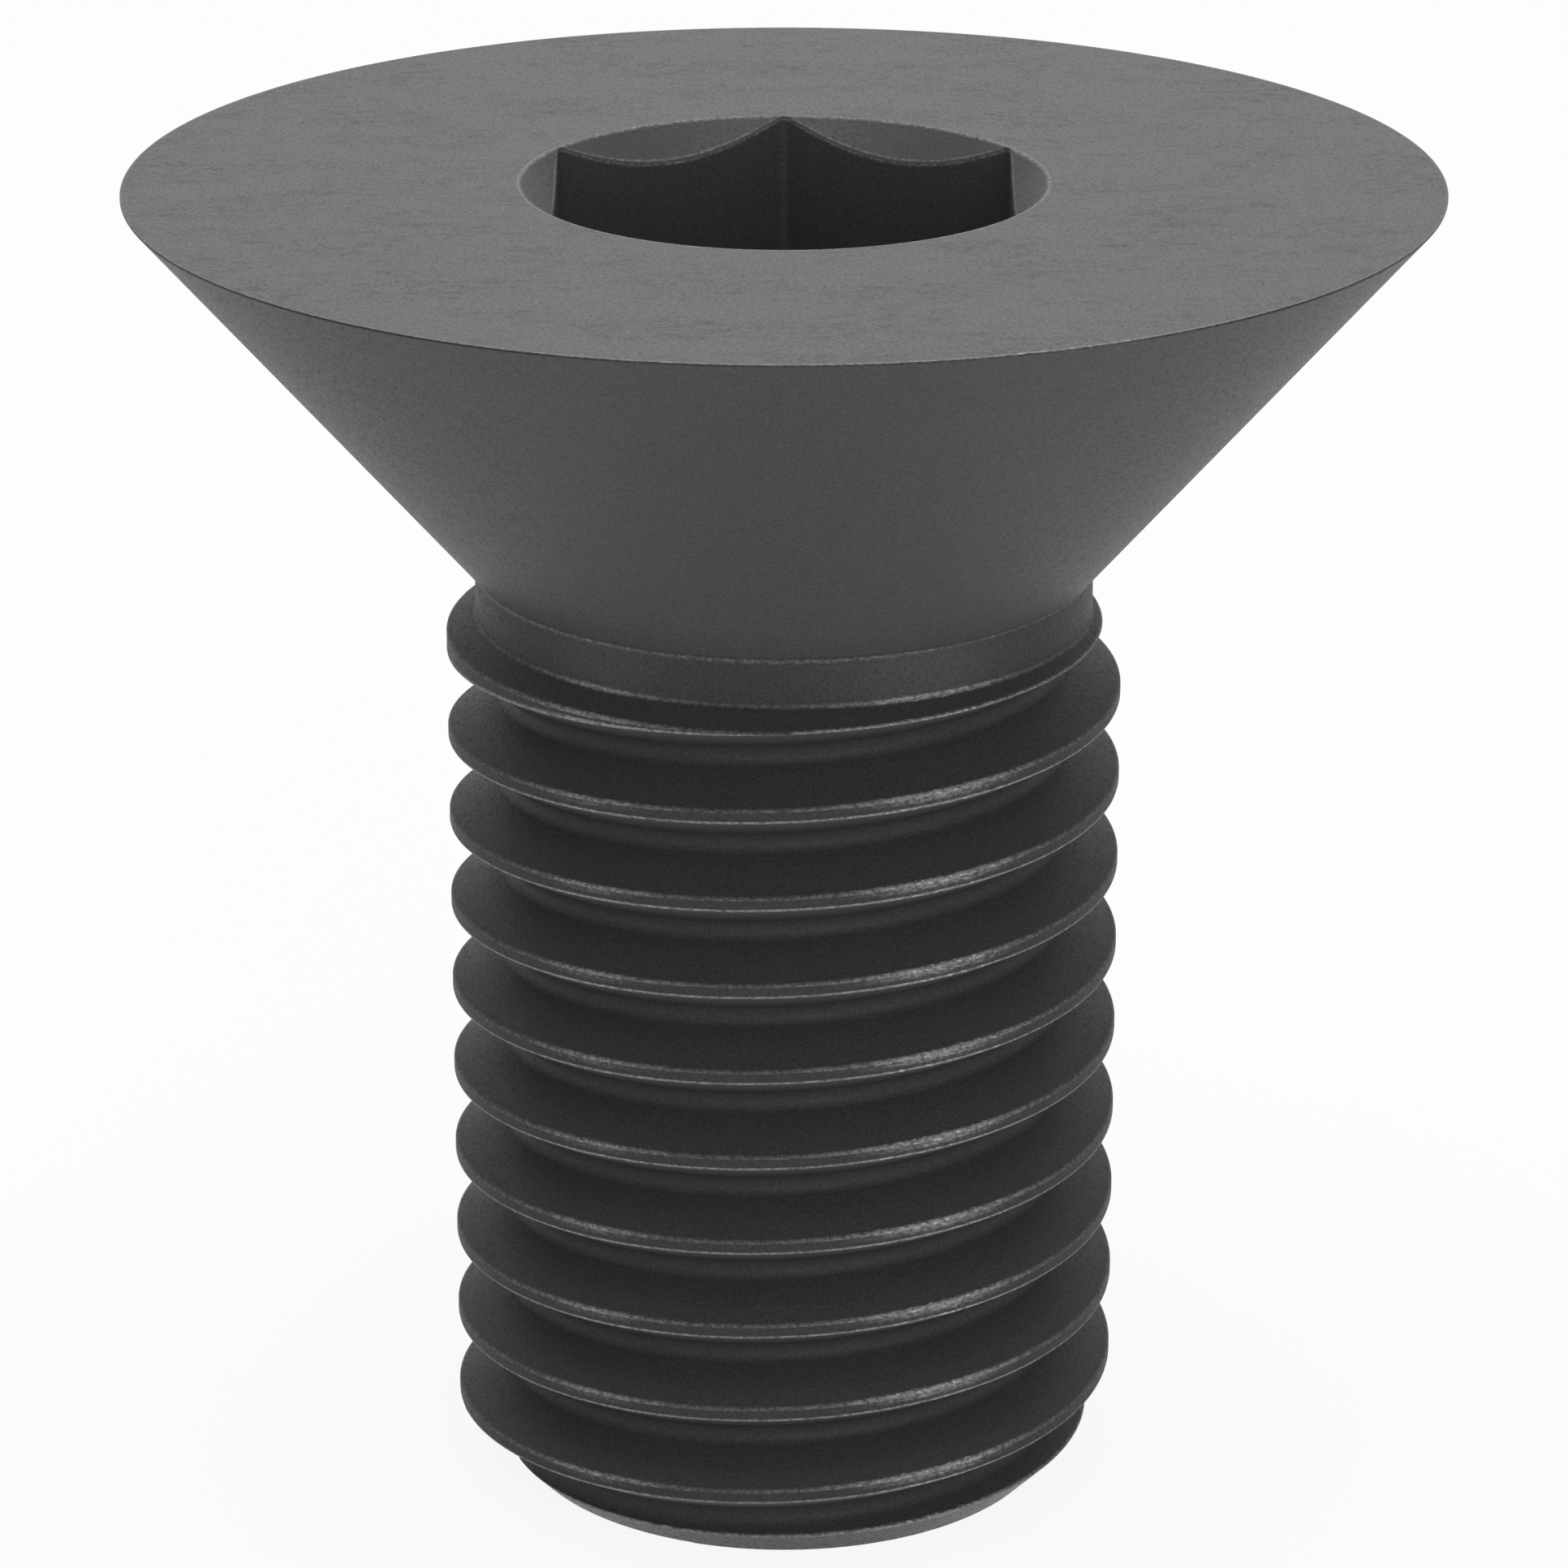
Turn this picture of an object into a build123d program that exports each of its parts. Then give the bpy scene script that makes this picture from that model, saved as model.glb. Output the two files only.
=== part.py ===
from build123d import *
from math import ceil, radians, tan
import os

# A countersunk socket screw, 3/4-10 UNC by 1-1/2 in, in millimetres and degrees.
# Its axis is Z. The shapes are drawn downwards from the head face at z = 0,
# and the last step stands the screw on its flat tip.
# Depths count down from the head face. Azimuths run anticlockwise from +X, seen from above.

# thread
THREAD_DIAMETER = 19.05
PITCH = 2.54
FLANK_ANGLE = 60.0
CREST_FLAT = 0.36
ROOT_FLAT = 0.42
FRONT_CREST_DROP = 2.37
FADE_START = 50.0
FADE_SWEEP = 120.0
FADE_CLEAR = 0.25
FADE_STEPS = 8

# shank; the steps are how far the neck and the flat of the tip lie inside the crests
LENGTH = 38.1
NECK_STEP = 0.825
NECK_LENGTH = 1.32
SHOULDER_ANGLE = 30.0
NECK_FILLET = 0.25
TIP_STEP = 1.845
TIP_ANGLE = 45.0

# head
HEAD_DIAMETER = 36.525
HEAD_ANGLE = 82.0
RIM_LAND = 0.06

# hexagon socket
ACROSS_FLATS = 12.7
SOCKET_DEPTH = 6.0
MOUTH_DIAMETER = 14.62
MOUTH_ANGLE = 42.0
DRILL_DIAMETER = 12.0
DRILL_ANGLE = 120.0

# the side the thread's place is given for, and the side a socket corner points to
FRONT = 270.0
BACK = 90.0

# how far a cutting shape reaches past the surface it cuts
CLEAR = 0.1

HEAD_R = HEAD_DIAMETER / 2
THREAD_R = THREAD_DIAMETER / 2
NECK_R = THREAD_R - NECK_STEP
TIP_R = THREAD_R - TIP_STEP
MOUTH_R = MOUTH_DIAMETER / 2
DRILL_R = DRILL_DIAMETER / 2

FLANK_SLOPE = tan(radians(FLANK_ANGLE / 2))
CONE_DEPTH = RIM_LAND + (HEAD_R - NECK_R) / tan(radians(HEAD_ANGLE / 2))
NECK_DEPTH = CONE_DEPTH + NECK_LENGTH
SHOULDER_DEPTH = NECK_DEPTH + NECK_STEP * tan(radians(SHOULDER_ANGLE))
FRONT_CREST_DEPTH = SHOULDER_DEPTH + FRONT_CREST_DROP
CHAMFER_DEPTH = LENGTH - TIP_STEP * tan(radians(TIP_ANGLE))

ROOT_R = THREAD_R - (PITCH - CREST_FLAT - ROOT_FLAT) / 2 / FLANK_SLOPE
FADE_RISE = NECK_R - ROOT_R + FADE_CLEAR


def groove_depth_at(azimuth):
    """Depth of the groove's middle below the head face, on the turn that fades out."""
    turn = (azimuth - FRONT) / 360
    return FRONT_CREST_DEPTH - PITCH / 2 - PITCH * turn


def blank():
    """The turned shape: head cone, neck, shoulder, shank and chamfered tip."""
    corners = [
        (0, 0),
        (HEAD_R, 0),
        (HEAD_R, -RIM_LAND),
        (NECK_R, -CONE_DEPTH),
        (NECK_R, -NECK_DEPTH),
        (THREAD_R, -SHOULDER_DEPTH),
        (THREAD_R, -CHAMFER_DEPTH),
        (TIP_R, -LENGTH),
        (0, -LENGTH),
    ]
    half = Plane.XZ * make_face(Polyline(*corners, close=True))
    turned = revolve(half, Axis.Z)
    under_head = turned.edges().filter_by(GeomType.CIRCLE).sort_by(
        lambda edge: abs(edge.center().Z + CONE_DEPTH) + abs(edge.radius - NECK_R)
    )[0]
    return fillet(under_head, NECK_FILLET)


def groove_section(lift=0.0):
    """The groove in the XZ plane, middle on z = 0: two flanks and a narrow flat root."""
    inner_r = ROOT_R + lift
    outer_r = THREAD_R + CLEAR
    inner_z = ROOT_FLAT / 2
    outer_z = inner_z + (outer_r - inner_r) * FLANK_SLOPE
    corners = [(inner_r, -inner_z), (outer_r, -outer_z), (outer_r, outer_z), (inner_r, inner_z)]
    return Plane.XZ * make_face(Polyline(*corners, close=True))


def running_groove():
    """The full-depth groove, right-handed, as single turns from the fade's start to the tip."""
    top = groove_depth_at(FADE_START + 360)
    turns = ceil((LENGTH - top) / PITCH) + 1
    path = Helix(PITCH, PITCH, THREAD_R)
    wound = sweep(groove_section(), path, is_frenet=True)
    return [Pos(0, 0, -top - PITCH * n) * Rot(0, 0, FADE_START) * wound for n in range(1, turns + 1)]


def fading_groove():
    """The groove's last stretch, on the hidden back, which lifts out of the neck."""
    sections = []
    for step in range(FADE_STEPS + 1):
        share = step / FADE_STEPS
        azimuth = FADE_START + FADE_SWEEP * share
        z = -groove_depth_at(azimuth + 360)
        section = groove_section(FADE_RISE * share**2)
        sections.append(Pos(0, 0, z) * Rot(0, 0, azimuth) * section)
    return loft(sections)


def socket():
    """The hexagon with one corner at the back, its chamfered mouth and drilled end."""
    hexagon = RegularPolygon(ACROSS_FLATS / 2, 6, major_radius=False, rotation=BACK)
    flats = Pos(0, 0, -SOCKET_DEPTH) * extrude(hexagon, SOCKET_DEPTH + CLEAR)
    slope = tan(radians(MOUTH_ANGLE))
    above = MOUTH_R + CLEAR / slope
    mouth = make_face(Polyline((0, CLEAR), (above, CLEAR), (0, -MOUTH_R * slope), close=True))
    point = DRILL_R / tan(radians(DRILL_ANGLE / 2))
    drill = make_face(
        Polyline(
            (0, -SOCKET_DEPTH + CLEAR),
            (DRILL_R, -SOCKET_DEPTH + CLEAR),
            (DRILL_R, -SOCKET_DEPTH),
            (0, -SOCKET_DEPTH - point),
            close=True,
        )
    )
    return flats + revolve(Plane.XZ * mouth, Axis.Z) + revolve(Plane.XZ * drill, Axis.Z)


def screw():
    """The whole screw, standing on its tip with the head up."""
    cut = blank() - running_groove() - fading_groove() - socket()
    return Pos(0, 0, LENGTH) * cut


os.makedirs("parts", exist_ok=True)
export_step(screw(), "parts/screw.step")
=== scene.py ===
import math

import bmesh
import bpy
import numpy as np
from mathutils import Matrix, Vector


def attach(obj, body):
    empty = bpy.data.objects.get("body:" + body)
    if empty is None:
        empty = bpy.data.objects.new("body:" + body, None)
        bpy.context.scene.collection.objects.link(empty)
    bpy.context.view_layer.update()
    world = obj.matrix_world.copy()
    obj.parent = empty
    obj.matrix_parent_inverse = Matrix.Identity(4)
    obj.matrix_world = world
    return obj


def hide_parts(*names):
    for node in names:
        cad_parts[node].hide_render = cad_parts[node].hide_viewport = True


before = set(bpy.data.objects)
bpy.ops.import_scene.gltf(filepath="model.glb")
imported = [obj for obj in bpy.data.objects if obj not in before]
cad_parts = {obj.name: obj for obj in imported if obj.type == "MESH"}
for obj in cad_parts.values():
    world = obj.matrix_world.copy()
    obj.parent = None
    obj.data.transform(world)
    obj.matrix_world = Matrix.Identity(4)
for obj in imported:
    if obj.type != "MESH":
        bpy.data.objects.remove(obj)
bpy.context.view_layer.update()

# Sizes are in millimetres and depths count down from the head face, as in the part.
# Azimuths are in degrees and run anticlockwise from +X, seen from above.
MM = 0.001

# thread
THREAD_R = 9.525
PITCH = 2.54
HALF_FLANK = math.radians(30)
CREST_FLAT = 0.36
ROOT_ROUND = 0.35
FRONT = 270.0
FRONT_CREST_DROP = 2.37
FADE_START = 50.0
FADE_SWEEP = 120.0
FADE_RISE = 0.95

# shank
LENGTH = 38.1
NECK_R = 8.7
NECK_LENGTH = 1.32
NECK_FILLET = 0.25
TIP_R = 7.68

# head
HEAD_R = 18.2625
HEAD_HALF_ANGLE = math.radians(41)
RIM_LAND = 0.06
# The rim is drawn in a little, so that it stays inside the part's own facets.
RIM_R = HEAD_R - 0.0065

# hexagon socket
FLAT_R = 6.35
SIDE_ANGLE = 60
HALF_SIDE = 30
SOCKET_ROUND = 0.3
SOCKET_DEPTH = 6.0
MOUTH_R = 7.31
MOUTH_SLOPE = math.tan(math.radians(42))
DRILL_R = 6.0
DRILL_DEPTH = DRILL_R / math.tan(math.radians(60))

FLANK_SLOPE = math.tan(HALF_FLANK)
CONE_DEPTH = RIM_LAND + (HEAD_R - NECK_R) / math.tan(HEAD_HALF_ANGLE)
FILLET_REACH = NECK_FILLET * math.tan(HEAD_HALF_ANGLE / 2)
NECK_DEPTH = CONE_DEPTH + NECK_LENGTH
SHOULDER_DEPTH = NECK_DEPTH + (THREAD_R - NECK_R) * FLANK_SLOPE
FRONT_CREST_DEPTH = SHOULDER_DEPTH + FRONT_CREST_DROP
CHAMFER_DEPTH = LENGTH - (THREAD_R - TIP_R)
SHARP_ROOT_R = THREAD_R - (PITCH - CREST_FLAT) / 2 / FLANK_SLOPE
ROOT_TANGENT = ROOT_ROUND * math.cos(HALF_FLANK)

# The socket's rounded corners: how far out the rounding's centre is, how far its ends are
# from the middles of the sides, and half the angle that it takes up.
ROUND_PLACE = (FLAT_R - SOCKET_ROUND) / math.cos(math.radians(HALF_SIDE))
ROUND_ACROSS = (FLAT_R - SOCKET_ROUND) * math.tan(math.radians(HALF_SIDE))
ROUND_HALF = HALF_SIDE - math.degrees(math.atan(ROUND_ACROSS / FLAT_R))

# The turned shape below the head, before the groove is cut.
BLANK_DEPTHS = [CONE_DEPTH, NECK_DEPTH, SHOULDER_DEPTH, CHAMFER_DEPTH, LENGTH]
BLANK_RADII = [NECK_R, NECK_R, THREAD_R, THREAD_R, TIP_R]

# How far the small roundings reach on each side of an edge.
THREAD_EDGE = 0.05
NECK_EDGE = 0.04
RIM_EDGE = 0.027
MOUTH_EDGE = 0.03
HEXAGON_EDGE = 0.07

# How far the wear and the painted highlight run on past a rounding. Neither the rounding
# nor the wear and highlight may take more than these shares of the way to the next corner.
WEAR_AND_HIGHLIGHT_FADE = 0.1
ROUNDED_SHARE = 0.4
WEAR_AND_HIGHLIGHT_SHARE = 0.49

# How worn the edges are where nothing rubbed them, from 0 to 1. A pair is the middle and the sides. The
# bare steel on the crests' lower edges and the tip's edges is partly real wear and partly a painted
# highlight; on the fillet under the head it is only a painted highlight.
EDGE_WEAR_AND_HIGHLIGHT = 0.82
UPPER_EDGE_WEAR = 0.43
NECK_EDGE_WEAR = 0.37
RIM_WEAR = 0.5
MOUTH_WEAR = 0.7
HEXAGON_WEAR = (0.1, 0.6)
PAINTED_FILLET_HIGHLIGHT = (0.55, 0.3)

# How worn a rubbed rim is on its side and at its foot, and a rubbed crest at shares of its width.
RIM_SIDE_WEAR = 0.8
RIM_FOOT_WEAR = 0.5
CREST_WEAR = [(0.4, 0.75), (0.65, 0.35)]

# Where the thread was rubbed, on lines down its length, and where the rim was:
# azimuth, half width and strength.
THREAD_RUBBED = [(297, 16, 1.0), (236, 12, 0.6), (25, 14, 0.8), (118, 12, 0.7), (168, 10, 0.5)]
RIM_RUBBED = [(294, 22, 0.6), (258, 22, 0.4), (70, 45, 0.6), (150, 20, 0.4)]

# How much painted light raises the oxide's shade: a painted highlight on the neck, growing where the
# thread was rubbed, and a painted reflection on the flanks just under the crests.
NECK_PAINTED_HIGHLIGHT = 0.5
UNDER_CREST_PAINTED_REFLECTION = 0.9

# The finish of the oxide: its shade, its blue against it, its roughness, shine, stains and grain.
FACE = {"shade": 0.074, "blue": 1.0, "roughness": 0.45, "shine": 0.5, "stained": 1.0, "grained": 0.4}
# The rim's narrow land is drawn much darker than the face and the cone, as a thin dark line round the
# head.
RIM = {"shade": 0.024, "blue": 1.0, "roughness": 0.5, "shine": 0.2, "stained": 0.0, "grained": 0.4}
CONE = {"shade": 0.065, "blue": 1.0, "roughness": 0.41, "shine": 0.12, "stained": 0.15, "grained": 0.25}
SOCKET = {"shade": 0.039, "blue": 0.95, "roughness": 0.45, "shine": 0.3, "stained": 0.2, "grained": 0.25}
THREAD = {"shade": 0.043, "blue": 0.95, "roughness": 0.45, "shine": 0.1, "stained": 0.2, "grained": 0.3}
TIP = {"shade": 0.055, "blue": 0.98, "roughness": 0.34, "shine": 0.15, "stained": 0.2, "grained": 0.3}

# The mesh is a grid of columns, one for each azimuth, that starts on the hidden back.
# Each corner of the socket, from the first one past the seam, has a few columns more,
# at these shares of its rounding.
SEAM = 172.0
COLUMNS = 288
FIRST_CORNER = 210
CORNER_SHARES = (-1, -0.5, 0.5, 1)
TURNS = range(-1, 12)

# In each column the groove is searched for its edges, on both sides of its middle,
# and its root has points at these shares of its rounding.
GROOVE_REACH = 1.4
GROOVE_POINTS = 1401
ROOT_SHARES = (-1, -0.6, 0, 0.6, 1)
# The gap that stands for a place where the groove may not cut, and what draws a groove
# that cuts nothing towards its own middle.
NO_CUT = 9.0
TO_MIDDLE = 0.001
# A cut shallower than this has less rounded and less worn edges.
SHALLOW_CUT = 0.06
# Once the fading groove cuts nothing, its rows lie at the neck's lower edge. Past this place
# they may climb the neck, by this much for each degree.
RUN_OUT = 523.0
RUN_OUT_RISE = 0.05


class Mark:
    """One point of a column, which takes one row of the mesh."""

    rows = 1
    reach = 0.0

    def __init__(self, depth, radius, wear_and_highlight=0.0):
        self.place = (float(radius), float(depth))
        self.wear_and_highlight = self.sides_wear_and_highlight = self.worn_around = wear_and_highlight


class Corner(Mark):
    """A rounded corner, which takes five rows: it may be more worn on its sides than in its middle. Its
    wear values also paint highlights on some edges.
    """

    rows = 5

    def __init__(self, depth, radius, reach, wear_and_highlight, sides_wear_and_highlight=None):
        super().__init__(depth, radius, wear_and_highlight)
        self.reach = reach
        self.sides_wear_and_highlight = wear_and_highlight if sides_wear_and_highlight is None else sides_wear_and_highlight
        self.worn_around = 0.0


def clamp(value, low, high):
    return min(max(value, low), high)


def blank_radius(depth):
    """The radius of the turned shape before the groove is cut."""
    return np.interp(depth, BLANK_DEPTHS, BLANK_RADII)


def groove_radius(across):
    """The groove's surface at a distance along the axis from its middle."""
    arc = SHARP_ROOT_R + 2 * ROOT_ROUND - np.sqrt(np.maximum(ROOT_ROUND**2 - across**2, 0))
    flank = SHARP_ROOT_R + np.abs(across) / FLANK_SLOPE
    return np.where(np.abs(across) < ROOT_TANGENT, arc, flank)


def hexagon_radius(azimuth):
    """The socket's wall, with corners at 30 degrees and every 60 after it."""
    from_flat = abs(azimuth - SIDE_ANGLE * round(azimuth / SIDE_ANGLE))
    from_corner = math.radians(HALF_SIDE - from_flat)
    if from_corner > math.radians(ROUND_HALF):
        return FLAT_R / math.cos(math.radians(from_flat))
    across = ROUND_PLACE * math.sin(from_corner)
    return ROUND_PLACE * math.cos(from_corner) + math.sqrt(SOCKET_ROUND**2 - across**2)


def rubbed(azimuth, lines):
    """How much a side of the screw is rubbed, from 0 to 1."""
    total = 0.0
    for place, half_width, strength in lines:
        apart = (azimuth - place + 180) % 360 - 180
        total += strength * math.exp(-((apart / half_width) ** 2))
    return min(total, 1.0)


def edge_wear_and_highlight(azimuth, unrubbed=EDGE_WEAR_AND_HIGHLIGHT):
    """The wear of an edge below the head, which is worn right through where it was rubbed; its unrubbed
    level on the crests' lower edges and the tip's edges is partly a painted highlight.
    """
    return unrubbed + (1 - unrubbed) * rubbed(azimuth, THREAD_RUBBED)


def column_azimuths():
    """Even columns, and a few more in each corner of the socket."""
    even = SEAM + 360 * np.arange(COLUMNS + 1) / COLUMNS
    corners = FIRST_CORNER + SIDE_ANGLE * np.arange(6)
    extra = [corners + ROUND_HALF * share for share in CORNER_SHARES]
    return np.sort(np.concatenate([even, *extra]))


def groove_edges(across, gap):
    """Where the groove leaves the turned shape above and below; one place if it cuts nothing."""
    cut = np.nonzero(gap < 0)[0]
    if len(cut) == 0:
        place = across[np.argmin(gap + TO_MIDDLE * np.abs(across))]
        return place, place
    ends = []
    for inner, outer in ((cut[0], cut[0] - 1), (cut[-1], cut[-1] + 1)):
        outer = clamp(outer, 0, len(across) - 1)
        on_shape = outer != inner and gap[outer] != NO_CUT
        share = gap[inner] / (gap[inner] - gap[outer]) if on_shape else 0
        ends.append(across[inner] + share * (across[outer] - across[inner]))
    return ends


def groove_marks(azimuth, turn):
    """The points of one turn of the groove in one column, from its upper edge to its lower."""
    along = azimuth - 360 * turn
    middle = FRONT_CREST_DEPTH - PITCH / 2 - PITCH * (along - FRONT) / 360
    lift = FADE_RISE * max(0.0, (along - FADE_START - 360) / FADE_SWEEP) ** 2
    across = np.linspace(-GROOVE_REACH, GROOVE_REACH, GROOVE_POINTS)
    depth = middle + across
    highest = CONE_DEPTH + FILLET_REACH
    inside = (depth > highest) & (depth < LENGTH)
    gap = np.where(inside, groove_radius(across) + lift - blank_radius(depth), NO_CUT)
    upper, lower = groove_edges(across, gap)
    cut = clamp(-gap.min() / SHALLOW_CUT, 0, 1)
    ran_out = cut == 0 and along > FADE_START + 360
    marks = []
    for place in (upper, *(ROOT_TANGENT * share for share in ROOT_SHARES), lower):
        place = clamp(place, upper, lower)
        depth = clamp(middle + place, highest, LENGTH)
        if ran_out:
            depth = clamp(depth, NECK_DEPTH - max(0.0, (along - RUN_OUT) * RUN_OUT_RISE), NECK_DEPTH)
        radius = blank_radius(depth)
        if lower > upper:
            radius = min(radius, groove_radius(place) + lift)
        marks.append(Mark(depth, radius))
    # The groove's edges are painted bare steel: on the crests' lower edges this is partly real wear and
    # partly a painted highlight.
    for number in (0, -1):
        radius, depth = marks[number].place
        on_crest_top = number == -1 and depth < CHAMFER_DEPTH
        wear_and_glint = edge_wear_and_highlight(azimuth, UPPER_EDGE_WEAR if on_crest_top else EDGE_WEAR_AND_HIGHLIGHT)
        marks[number] = Corner(depth, radius, THREAD_EDGE * cut, wear_and_glint * cut)
    return marks


def strip_marks(azimuth, upper, lower):
    """The turned shape's own corners between two turns of the groove, and the crest's wear."""
    marks = []
    for own_depth, reach, unrubbed in (
        (NECK_DEPTH, NECK_EDGE, NECK_EDGE_WEAR),
        (SHOULDER_DEPTH, THREAD_EDGE, UPPER_EDGE_WEAR),
        (CHAMFER_DEPTH, THREAD_EDGE, EDGE_WEAR_AND_HIGHLIGHT),
    ):
        depth = clamp(own_depth, upper, lower)
        there = depth == own_depth
        wear_and_glint = edge_wear_and_highlight(azimuth, unrubbed)
        marks.append(Corner(depth, blank_radius(depth), reach * there, wear_and_glint * there))
    crest_top, crest_foot = marks[1].place[1], marks[2].place[1]
    rub = rubbed(azimuth, THREAD_RUBBED) if crest_foot > crest_top else 0.0
    crest = []
    for share, wear_and_glint in CREST_WEAR:
        depth = clamp(upper + share * (lower - upper), crest_top, crest_foot)
        crest.append(Mark(depth, blank_radius(depth), wear_and_glint * rub))
    return [*marks[:2], *crest, marks[2]]


def head_marks(azimuth):
    """The points of one column in the head, from the socket's bottom to the fillet at the neck."""
    wall = hexagon_radius(azimuth)
    chamfer = max(0.0, (MOUTH_R - wall) * MOUTH_SLOPE)
    rub = rubbed(azimuth, RIM_RUBBED)
    return [
        Mark(SOCKET_DEPTH + DRILL_DEPTH, 0),
        Corner(SOCKET_DEPTH, DRILL_R, MOUTH_EDGE, 0.0),
        Corner(SOCKET_DEPTH, wall, MOUTH_EDGE, 0.0),
        Corner(chamfer, wall, HEXAGON_EDGE, *HEXAGON_WEAR),
        Corner(0, max(MOUTH_R, wall), MOUTH_EDGE, MOUTH_WEAR),
        Corner(0, RIM_R, RIM_EDGE, RIM_WEAR + (1 - RIM_WEAR) * rub),
        Mark(RIM_LAND / 2, RIM_R, RIM_SIDE_WEAR * rub),
        Corner(RIM_LAND, RIM_R, RIM_EDGE, RIM_FOOT_WEAR * rub),
        # The fillet's line of bare steel is only a painted highlight.
        Corner(CONE_DEPTH, NECK_R, FILLET_REACH, *PAINTED_FILLET_HIGHLIGHT),
    ]


def column_marks(azimuth):
    """One column of the whole surface, from the socket's bottom to the tip's centre."""
    marks = head_marks(azimuth)
    for turn in TURNS:
        groove = groove_marks(azimuth, turn)
        if turn > TURNS[0]:
            marks += strip_marks(azimuth, marks[-1].place[1], groove[0].place[1])
        marks += groove
    marks += [Corner(LENGTH, TIP_R, THREAD_EDGE, edge_wear_and_highlight(azimuth)), Mark(LENGTH, 0)]
    return marks


def together(marks):
    """The marks in groups that fall on one place."""
    same_place = 1e-5
    groups = [[marks[0]]]
    for last, mark in zip(marks, marks[1:]):
        if math.dist(last.place, mark.place) > same_place:
            groups.append([])
        groups[-1].append(mark)
    return groups


def beside(here, other, reach):
    """Where a corner's rounding ends on the way to the next corner, and where its wear and painted
    highlight end.
    """
    shortest = 1e-9
    way = other - here
    length = max(np.linalg.norm(way), shortest)
    near = min(reach, ROUNDED_SHARE * length)
    far = min(near + WEAR_AND_HIGHLIGHT_FADE, WEAR_AND_HIGHLIGHT_SHARE * length)
    return here + way * near / length, here + way * far / length


def rounded_column(marks):
    """Rows of radius, depth and wear with painted highlight: one for a plain mark, five for a rounded
    corner.

    A group keeps the rows of all its marks, so that each column has the same number of rows.
    """
    groups = together(marks)
    rows = []
    for number, group in enumerate(groups):
        here = np.array(group[0].place)
        reach = max(mark.reach for mark in group)
        wear_and_highlight = max(mark.wear_and_highlight for mark in group)
        sides_wear_and_highlight = max(mark.sides_wear_and_highlight for mark in group)
        count = sum(mark.rows for mark in group)
        if reach == 0:
            rows += [(*here, wear_and_highlight)] * count
            continue
        before, after = groups[number - 1][-1], groups[number + 1][0]
        start, faded_start = beside(here, before.place, reach)
        end, faded_end = beside(here, after.place, reach)
        middle = (start + end + 2 * here) / 4
        rows += [(*faded_start, before.worn_around), (*start, sides_wear_and_highlight)]
        rows += [(*middle, wear_and_highlight)] * (count - 4)
        rows += [(*end, sides_wear_and_highlight), (*faded_end, after.worn_around)]
    return rows


def finish_layers(radius, depth, rub):
    """The finish of each point, as one layer for each of the finish's values."""
    in_socket = radius < MOUTH_R + MOUTH_EDGE
    below_head = depth > CONE_DEPTH - FILLET_REACH
    on_rim = (radius > RIM_R - RIM_EDGE / 2) & (depth > RIM_EDGE / 4)
    on_face = depth < RIM_EDGE / 4
    on_tip = (depth > CHAMFER_DEPTH + THREAD_EDGE) & (radius > blank_radius(depth) - THREAD_EDGE)
    places = [on_tip, below_head, in_socket, on_face, on_rim]
    layers = {}
    for name in CONE:
        values = [finish[name] for finish in (TIP, THREAD, SOCKET, FACE, RIM)]
        layers[name] = np.select(places, values, CONE[name])
    # The shade is raised by painted light here: a painted highlight on the neck and a painted reflection
    # on the flanks under the crests.
    layers["shade"] = layers["shade"] * (1 + painted_light(radius, depth, rub))
    return layers


def painted_light(radius, depth, rub):
    """How much painted light raises the oxide's shade: a painted highlight on the neck where the thread
    was rubbed, and a painted reflection where a flank falls from a crest.
    """
    on_neck = (abs(radius - NECK_R) < NECK_EDGE) & (depth > CONE_DEPTH) & (depth < NECK_DEPTH)
    below_head = depth > CONE_DEPTH - FILLET_REACH
    in_groove = below_head & (depth < LENGTH) & (radius < blank_radius(depth) - THREAD_EDGE)
    fall = np.clip(-np.diff(radius, axis=1, append=0.0), 0, 1)
    return NECK_PAINTED_HIGHLIGHT * rub * on_neck + UNDER_CREST_PAINTED_REFLECTION * fall * in_groove


def merge(mesh):
    """Joins the points that fall together, which also drops the faces that have no width."""
    same_point, no_width = 1e-8, 1e-9
    work = bmesh.new()
    work.from_mesh(mesh)
    bmesh.ops.remove_doubles(work, verts=work.verts, dist=same_point)
    bmesh.ops.dissolve_degenerate(work, edges=work.edges, dist=no_width)
    work.to_mesh(mesh)
    work.free()


def smooth(mesh):
    """Normals weighted by area, so that wide faces stay flat up to their small roundings."""
    shortest = 1e-20
    sums = np.zeros((len(mesh.vertices), 3))
    for face in mesh.polygons:
        face.use_smooth = True
        sums[list(face.vertices)] += np.array(face.normal) * face.area
    length = np.linalg.norm(sums, axis=1, keepdims=True)
    mesh.normals_split_custom_set_from_vertices(sums / np.maximum(length, shortest))


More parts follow.
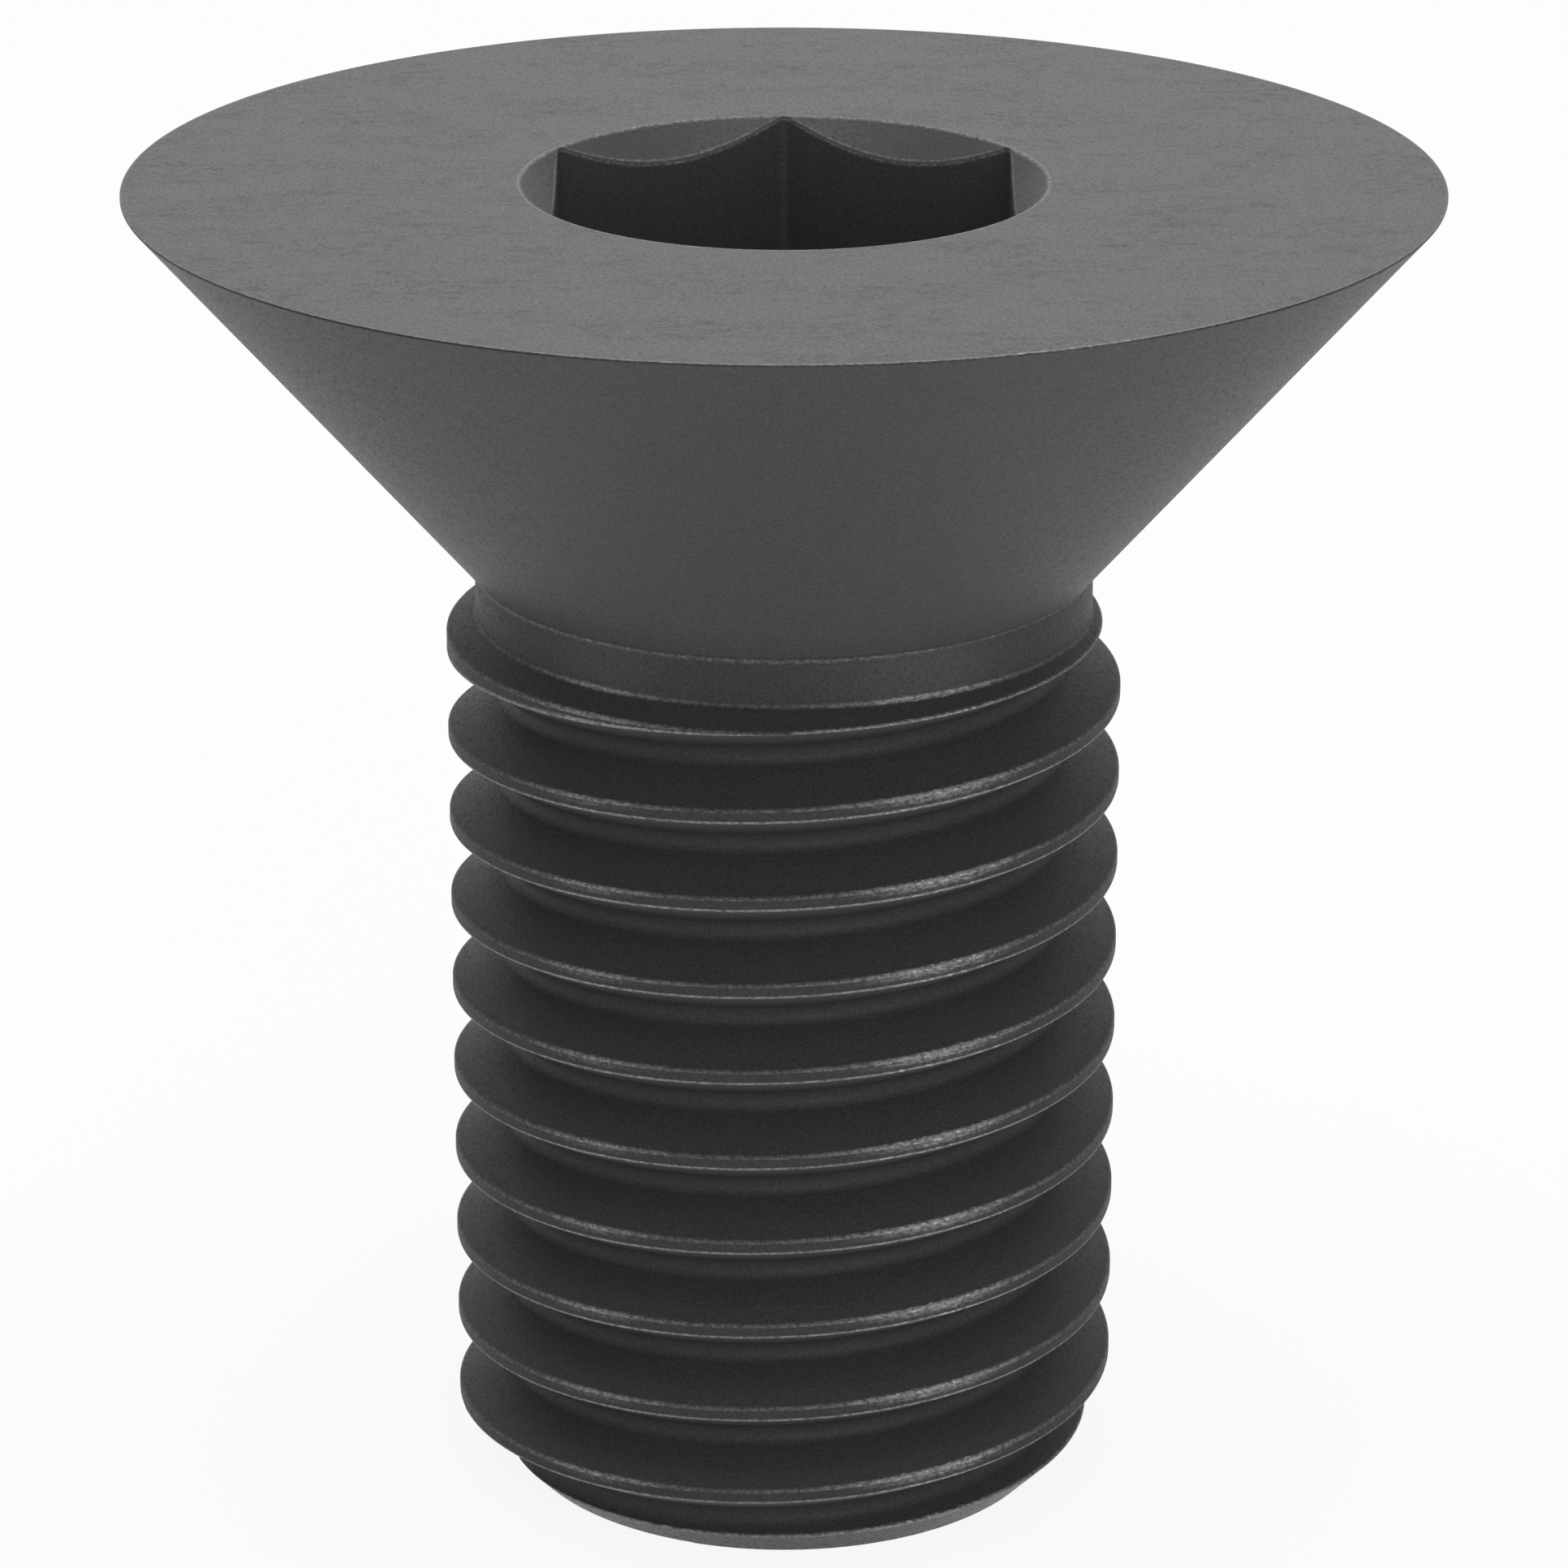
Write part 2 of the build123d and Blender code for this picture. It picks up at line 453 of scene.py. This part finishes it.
def screw_mesh():
    """The screw's whole surface, which carries its finish and wear at its points, among them painted
    highlights and a painted reflection.
    """
    azimuths = column_azimuths()
    grid = np.array([rounded_column(column_marks(azimuth)) for azimuth in azimuths])
    radius, depth, wear_and_highlight = grid[:, :, 0], grid[:, :, 1], grid[:, :, 2]
    turn = np.radians(azimuths)[:, None]
    points = np.stack([radius * np.cos(turn), radius * np.sin(turn), LENGTH - depth], axis=-1) * MM
    columns, rows = radius.shape
    index = np.arange(columns * rows).reshape(columns, rows)
    quads = np.stack([index[:-1, :-1], index[:-1, 1:], index[1:, 1:], index[1:, :-1]], axis=-1)
    mesh = bpy.data.meshes.new("screw_body")
    mesh.from_pydata(points.reshape(-1, 3).tolist(), [], quads.reshape(-1, 4).tolist())
    rub = np.array([rubbed(azimuth, THREAD_RUBBED) for azimuth in azimuths])[:, None]
    layers = finish_layers(radius, depth, rub)
    layers["wear_and_highlight"] = wear_and_highlight
    # Only what is more than half worn is nicked; the same layer also holds painted highlights.
    layers["nicked"] = rub * np.clip(2 * wear_and_highlight - 1, 0, 1)
    for name, values in layers.items():
        mesh.attributes.new(name, "FLOAT", "POINT").data.foreach_set("value", values.reshape(-1))
    merge(mesh)
    smooth(mesh)
    return mesh


# The places of the colour sockets on a mix node.
FIRST_COLOR, SECOND_COLOR, MIXED_COLOR = 6, 7, 2


class Graph:
    """Short forms for the nodes of one material or world."""

    def __init__(self, tree):
        self.tree = tree
        tree.nodes.clear()

    def node(self, kind, **values):
        node = self.tree.nodes.new(kind)
        for name, value in values.items():
            setattr(node, name, value)
        return node

    def put(self, socket, value):
        """Links a node's output to a socket, or sets the socket to a plain value."""
        if isinstance(value, bpy.types.NodeSocket):
            self.tree.links.new(value, socket)
        else:
            socket.default_value = value

    def math(self, operation, *values):
        node = self.node("ShaderNodeMath", operation=operation)
        for socket, value in zip(node.inputs, values):
            self.put(socket, value)
        return node.outputs[0]

    def spread(self, value, low, high, new_low, new_high):
        """Maps a range softly onto another one."""
        node = self.node("ShaderNodeMapRange", interpolation_type="SMOOTHSTEP")
        for socket, item in zip(node.inputs, (value, low, high, new_low, new_high)):
            self.put(socket, item)
        return node.outputs[0]

    def noise(self, stretch, scale, detail, roughness):
        """Noise in the object's own millimetres, drawn out along its axes by stretch."""
        place = self.node("ShaderNodeTexCoord").outputs["Object"]
        mapping = self.node("ShaderNodeMapping")
        self.put(mapping.inputs["Vector"], place)
        self.put(mapping.inputs["Scale"], [1 / MM / size for size in stretch])
        texture = self.node("ShaderNodeTexNoise")
        self.put(texture.inputs["Vector"], mapping.outputs[0])
        self.put(texture.inputs["Scale"], scale)
        self.put(texture.inputs["Detail"], detail)
        self.put(texture.inputs["Roughness"], roughness)
        return texture.outputs["Fac"]

    def layer(self, name):
        """One of the values that the mesh carries at its points."""
        return self.node("ShaderNodeAttribute", attribute_name=name).outputs["Fac"]

    def mix_color(self, share, first, second):
        node = self.node("ShaderNodeMix", data_type="RGBA")
        self.put(node.inputs["Factor"], share)
        self.put(node.inputs[FIRST_COLOR], first)
        self.put(node.inputs[SECOND_COLOR], second)
        return node.outputs[MIXED_COLOR]


# The noises of the finish: how far each is drawn out along the axes, its scale, detail and roughness.
GRAIN = ((1, 1, 1), 13.0, 2.0, 0.7)
PITS = ((1, 1, 1), 9.0, 2.0, 0.6)
BLOTCHES = ((2, 1, 1), 0.5, 3.0, 0.6)
STREAKS = ((1.6, 1, 1), 3.0, 6.0, 0.85)
SCUFFS = ((1.6, 1.6, 1), 11.0, 3.0, 0.7)
SCRATCHES = ((2.4, 1.6, 0.6), 11.0, 2.0, 0.6)

# What they are spread to: the range of the noise, and the range of its effect.
GRAIN_RANGE = (0.2, 0.8, -1.0, 1.0)
PIT_RANGE = (0.45, 0.7, 0.0, 0.2)
BLOTCH_RANGE = (0.4, 0.64, 0.2, 1.0)
STREAK_RANGE = (0.42, 0.7, 0.0, 1.0)
SCUFF_RANGE = (0.3, 0.7, 0.55, 1.45)
BARE_AND_HIGHLIGHT_RANGE = (0.15, 1.35, 0.0, 1.0)
SCRATCH_RANGE = (0.55, 0.68, 0.0, 1.0)

# Bare steel, which also serves as the painted highlight on the crests' lower edges, the tip's edges and
# the fillet.
BARE_STEEL_AND_HIGHLIGHT = (0.26, 0.26, 0.255, 1)
NICKED_STEEL = (0.55, 0.55, 0.54, 1)
STAIN_SHARE = 0.2
BUMP_HEIGHT = 0.012


def stains(graph):
    """Faint stains, drawn out in streaks."""
    blotch = graph.spread(graph.noise(*BLOTCHES), *BLOTCH_RANGE)
    stain = graph.math("MULTIPLY", blotch, graph.spread(graph.noise(*STREAKS), *STREAK_RANGE))
    stain = graph.math("MULTIPLY", stain, graph.layer("stained"))
    return graph.math("MULTIPLY", stain, STAIN_SHARE)


def oxide_color(graph, stain):
    """The oxide's shade, a little less blue in places, with its stains and fine grain; the shade layer
    also holds painted light on the neck and under the crests.
    """
    grain = graph.spread(graph.noise(*GRAIN), *GRAIN_RANGE)
    grained = graph.math("MULTIPLY", grain, graph.layer("grained"))
    shade = graph.math("MULTIPLY", graph.layer("shade"), graph.math("SUBTRACT", 1.0, stain))
    shade = graph.math("MULTIPLY", shade, graph.math("ADD", 1.0, grained))
    oxide = graph.node("ShaderNodeCombineColor")
    blue = graph.math("MULTIPLY", shade, graph.layer("blue"))
    for socket, value in zip(oxide.inputs, (shade, shade, blue)):
        graph.put(socket, value)
    return oxide.outputs[0]


def wear_and_highlight_color(graph, oxide):
    """The oxide with bare steel on its worn edges, which also paints highlights on the crests' lower
    edges and the fillet, and bright nicks where they were rubbed.
    """
    scuff = graph.spread(graph.noise(*SCUFFS), *SCUFF_RANGE)
    bare_and_highlit = graph.spread(graph.math("MULTIPLY", graph.layer("wear_and_highlight"), scuff), *BARE_AND_HIGHLIGHT_RANGE)
    scratch = graph.spread(graph.noise(*SCRATCHES), *SCRATCH_RANGE)
    nick = graph.math("MULTIPLY", scratch, graph.layer("nicked"))
    return graph.mix_color(nick, graph.mix_color(bare_and_highlit, oxide, BARE_STEEL_AND_HIGHLIGHT), NICKED_STEEL)


def black_oxide():
    """Oxide-blackened steel: fine grain, pits, faint stains, and steel worn bare on the edges; the bare
    steel also paints highlights on some edges, and the shade layer holds painted light.
    """
    material = bpy.data.materials.new("black_oxide_steel")
    material.use_nodes = True
    graph = Graph(material.node_tree)
    output = graph.node("ShaderNodeOutputMaterial")
    shader = graph.node("ShaderNodeBsdfPrincipled")
    graph.put(output.inputs["Surface"], shader.outputs[0])

    pits = graph.noise(*PITS)
    stain = stains(graph)
    graph.put(shader.inputs["Base Color"], wear_and_highlight_color(graph, oxide_color(graph, stain)))
    pitted = graph.math("ADD", graph.spread(pits, *PIT_RANGE), stain)
    graph.put(shader.inputs["Roughness"], graph.math("ADD", graph.layer("roughness"), pitted))
    graph.put(shader.inputs["Specular IOR Level"], graph.layer("shine"))

    bump = graph.node("ShaderNodeBump")
    graph.put(bump.inputs["Strength"], 1.0)
    graph.put(bump.inputs["Distance"], BUMP_HEIGHT * MM)
    graph.put(bump.inputs["Height"], pits)
    graph.put(shader.inputs["Normal"], bump.outputs[0])
    return material


def build_screw():
    screw = bpy.data.objects.new("screw_body", screw_mesh())
    bpy.context.scene.collection.objects.link(screw)
    screw.data.materials.append(black_oxide())
    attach(screw, "root")
    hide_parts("screw")


def seen(graph):
    """1 for camera, mirror and glass rays, 0 for the rays that light the object."""
    path = graph.node("ShaderNodeLightPath").outputs
    either = graph.math("MAXIMUM", path["Is Camera Ray"], path["Is Glossy Ray"])
    return graph.math("MAXIMUM", either, path["Is Transmission Ray"])


def white_mix(graph, output, lit, white_share):
    """Shows plain white to the eye by the given share, over the shader that holds the light."""
    glow = graph.node("ShaderNodeEmission")
    mix = graph.node("ShaderNodeMixShader")
    for socket, value in zip(mix.inputs, (white_share, lit, glow.outputs[0])):
        graph.put(socket, value)
    graph.put(output.inputs["Surface"], mix.outputs[0])


# Half the floor's width in metres, its shade, how much plain white the eye sees over it,
# and the world's light on the object.
FLOOR_HALF = 2.0
FLOOR_SHADE = 0.9
FLOOR_WHITE_SHARE = 0.9
WORLD_LIGHT = 0.6


def white_floor():
    """A matte floor, nearly plain white to the eye, that keeps a soft shadow."""
    material = bpy.data.materials.new("floor")
    material.use_nodes = True
    graph = Graph(material.node_tree)
    output = graph.node("ShaderNodeOutputMaterial")
    matte = graph.node("ShaderNodeBsdfDiffuse")
    graph.put(matte.inputs["Color"], (FLOOR_SHADE, FLOOR_SHADE, FLOOR_SHADE, 1))
    share = graph.math("MULTIPLY", seen(graph), FLOOR_WHITE_SHARE)
    white_mix(graph, output, matte.outputs[0], share)
    return material


def build_floor():
    mesh = bpy.data.meshes.new("floor")
    corners = [(x * FLOOR_HALF, y * FLOOR_HALF, 0) for x, y in ((-1, -1), (1, -1), (1, 1), (-1, 1))]
    mesh.from_pydata(corners, [], [(0, 1, 2, 3)])
    floor = bpy.data.objects.new("floor", mesh)
    bpy.context.scene.collection.objects.link(floor)
    mesh.materials.append(white_floor())


def build_world():
    world = bpy.data.worlds.new("studio")
    bpy.context.scene.world = world
    world.use_nodes = True
    graph = Graph(world.node_tree)
    output = graph.node("ShaderNodeOutputWorld")
    light = graph.node("ShaderNodeBackground")
    graph.put(light.inputs["Strength"], WORLD_LIGHT)
    white_mix(graph, output, light.outputs[0], seen(graph))


# The lamps' size and places in metres, and their power in watts.
LAMP_SIZE = 0.5
LAMPS = {"lamp_above": ((0, 0, 0.7), 2.2), "lamp_front": ((0.15, -0.7, 0.25), 1.8)}


def build_lamps():
    """A wide soft lamp overhead and a weaker one at the front, both turned to the screw."""
    for name, (place, power) in LAMPS.items():
        data = bpy.data.lights.new(name, "AREA")
        data.size = LAMP_SIZE
        data.energy = power
        lamp = bpy.data.objects.new(name, data)
        lamp.location = place
        lamp.rotation_mode = "QUATERNION"
        lamp.rotation_quaternion = (-Vector(place)).to_track_quat("-Z", "Y")
        bpy.context.scene.collection.objects.link(lamp)


# The camera, fitted to the outline, the rim, the socket and the thread's ridges.
# It clips at distances in metres.
FRAME_PX = 1932
FOCAL_PX = 8148.46
SENSOR = 36.0
CAMERA_PITCH = math.radians(19.7991)
CAMERA_DISTANCE = 188.475
LOOK_DEPTH = 17.706
CLIP_START, CLIP_END = 0.01, 10


def build_camera():
    data = bpy.data.cameras.new("camera")
    data.sensor_width = SENSOR
    data.lens = FOCAL_PX * SENSOR / FRAME_PX
    data.clip_start, data.clip_end = CLIP_START, CLIP_END
    camera = bpy.data.objects.new("camera", data)
    bpy.context.scene.collection.objects.link(camera)
    back = Vector((0, -math.cos(CAMERA_PITCH), math.sin(CAMERA_PITCH)))
    target = Vector((0, 0, (LENGTH - LOOK_DEPTH) * MM))
    camera.location = target + back * CAMERA_DISTANCE * MM
    camera.rotation_mode = "QUATERNION"
    camera.rotation_quaternion = (-back).to_track_quat("-Z", "Y")
    bpy.context.scene.camera = camera


build_screw()
build_floor()
build_world()
build_lamps()
build_camera()
bpy.context.scene.view_settings.view_transform = "Standard"
